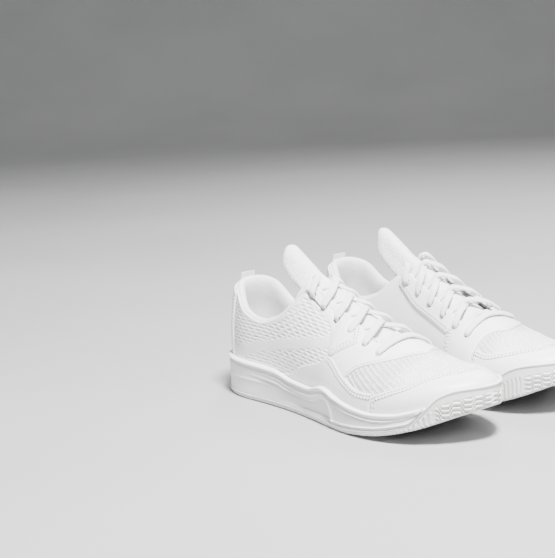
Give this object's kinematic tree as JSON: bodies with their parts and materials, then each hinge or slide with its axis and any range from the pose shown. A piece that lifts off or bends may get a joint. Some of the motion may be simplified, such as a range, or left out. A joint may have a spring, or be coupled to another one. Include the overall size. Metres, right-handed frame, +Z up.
{
  "type": "pair of cheer shoes",
  "caption": "Pair of low white lace-up cheer and court shoes with a cup sole, toe bumper, mesh toe window, eyestays, padded tongue and laces.",
  "frame": {"origin": "middle of the pair's footprint on the ground", "axes": "+X towards the toes, +Y to the wearer's left, +Z up"},
  "size_m": [0.2734, 0.2082, 0.125],
  "materials": {
    "rubber": "smooth moulded white rubber",
    "midsole_foam": "painted white moulded foam",
    "leather": "smooth coated white leather",
    "mesh": "ribbed white knitted mesh",
    "lining": "soft white knitted lining",
    "padding": "open foam padding",
    "lace": "woven polyester lace",
    "webbing": "woven tape",
    "board": "pressed fibre board",
    "plastic": "thin moulded plastic"
  },
  "bodies": {
    "right_shoe": {"right_outsole": "rubber", "right_midsole": "midsole_foam", "right_shank_plate": "plastic", "right_insole_board": "board", "right_sockliner": "lining", "right_toe_puff": "plastic", "right_heel_counter": "plastic", "right_vamp_mesh": "mesh", "right_vamp_lining": "lining", "right_toe_guard": "leather", "right_vamp_overlay": "leather", "right_eyestay_lateral": "leather", "right_eyestay_medial": "leather", "right_quarter_lateral": "leather", "right_quarter_medial": "leather", "right_facing_lateral": "webbing", "right_facing_medial": "webbing", "right_foxing_lateral": "leather", "right_heel_overlay": "leather", "right_heel_tab": "webbing", "right_collar_foam": "padding", "right_quarter_lining": "lining", "right_tongue": "lining", "right_lace": "lace", "right_lace_tip_a": "plastic", "right_lace_tip_b": "plastic"},
    "right_tongue_flap": {"right_tongue_top": "leather"},
    "left_shoe": {"left_outsole": "rubber", "left_midsole": "midsole_foam", "left_shank_plate": "plastic", "left_insole_board": "board", "left_sockliner": "lining", "left_toe_puff": "plastic", "left_heel_counter": "plastic", "left_vamp_mesh": "mesh", "left_vamp_lining": "lining", "left_toe_guard": "leather", "left_vamp_overlay": "leather", "left_eyestay_lateral": "leather", "left_eyestay_medial": "leather", "left_quarter_lateral": "leather", "left_quarter_medial": "leather", "left_facing_lateral": "webbing", "left_facing_medial": "webbing", "left_foxing_lateral": "leather", "left_heel_overlay": "leather", "left_heel_tab": "webbing", "left_collar_foam": "padding", "left_quarter_lining": "lining", "left_tongue": "lining", "left_lace": "lace", "left_lace_tip_a": "plastic", "left_lace_tip_b": "plastic"},
    "left_tongue_flap": {"left_tongue_top": "leather"}
  },
  "joints": [
    {"name": "pair_spread", "type": "slide", "parent": "right_shoe", "child": "left_shoe", "axis": [0, 1, 0], "range_m": [0, 0.2]},
    {"name": "right_tongue_fold", "type": "hinge", "parent": "right_shoe", "child": "right_tongue_flap", "pos_m": [-0.04271, -0.05119, 0.10806], "axis": [0, 1, 0], "range_deg": [0, 60], "stiffness_Nm_per_rad": 0.05},
    {"name": "left_tongue_fold", "type": "hinge", "parent": "left_shoe", "child": "left_tongue_flap", "pos_m": [-0.04271, 0.05119, 0.10806], "axis": [0, 1, 0], "range_deg": [0, 60], "stiffness_Nm_per_rad": 0.05}
  ]
}
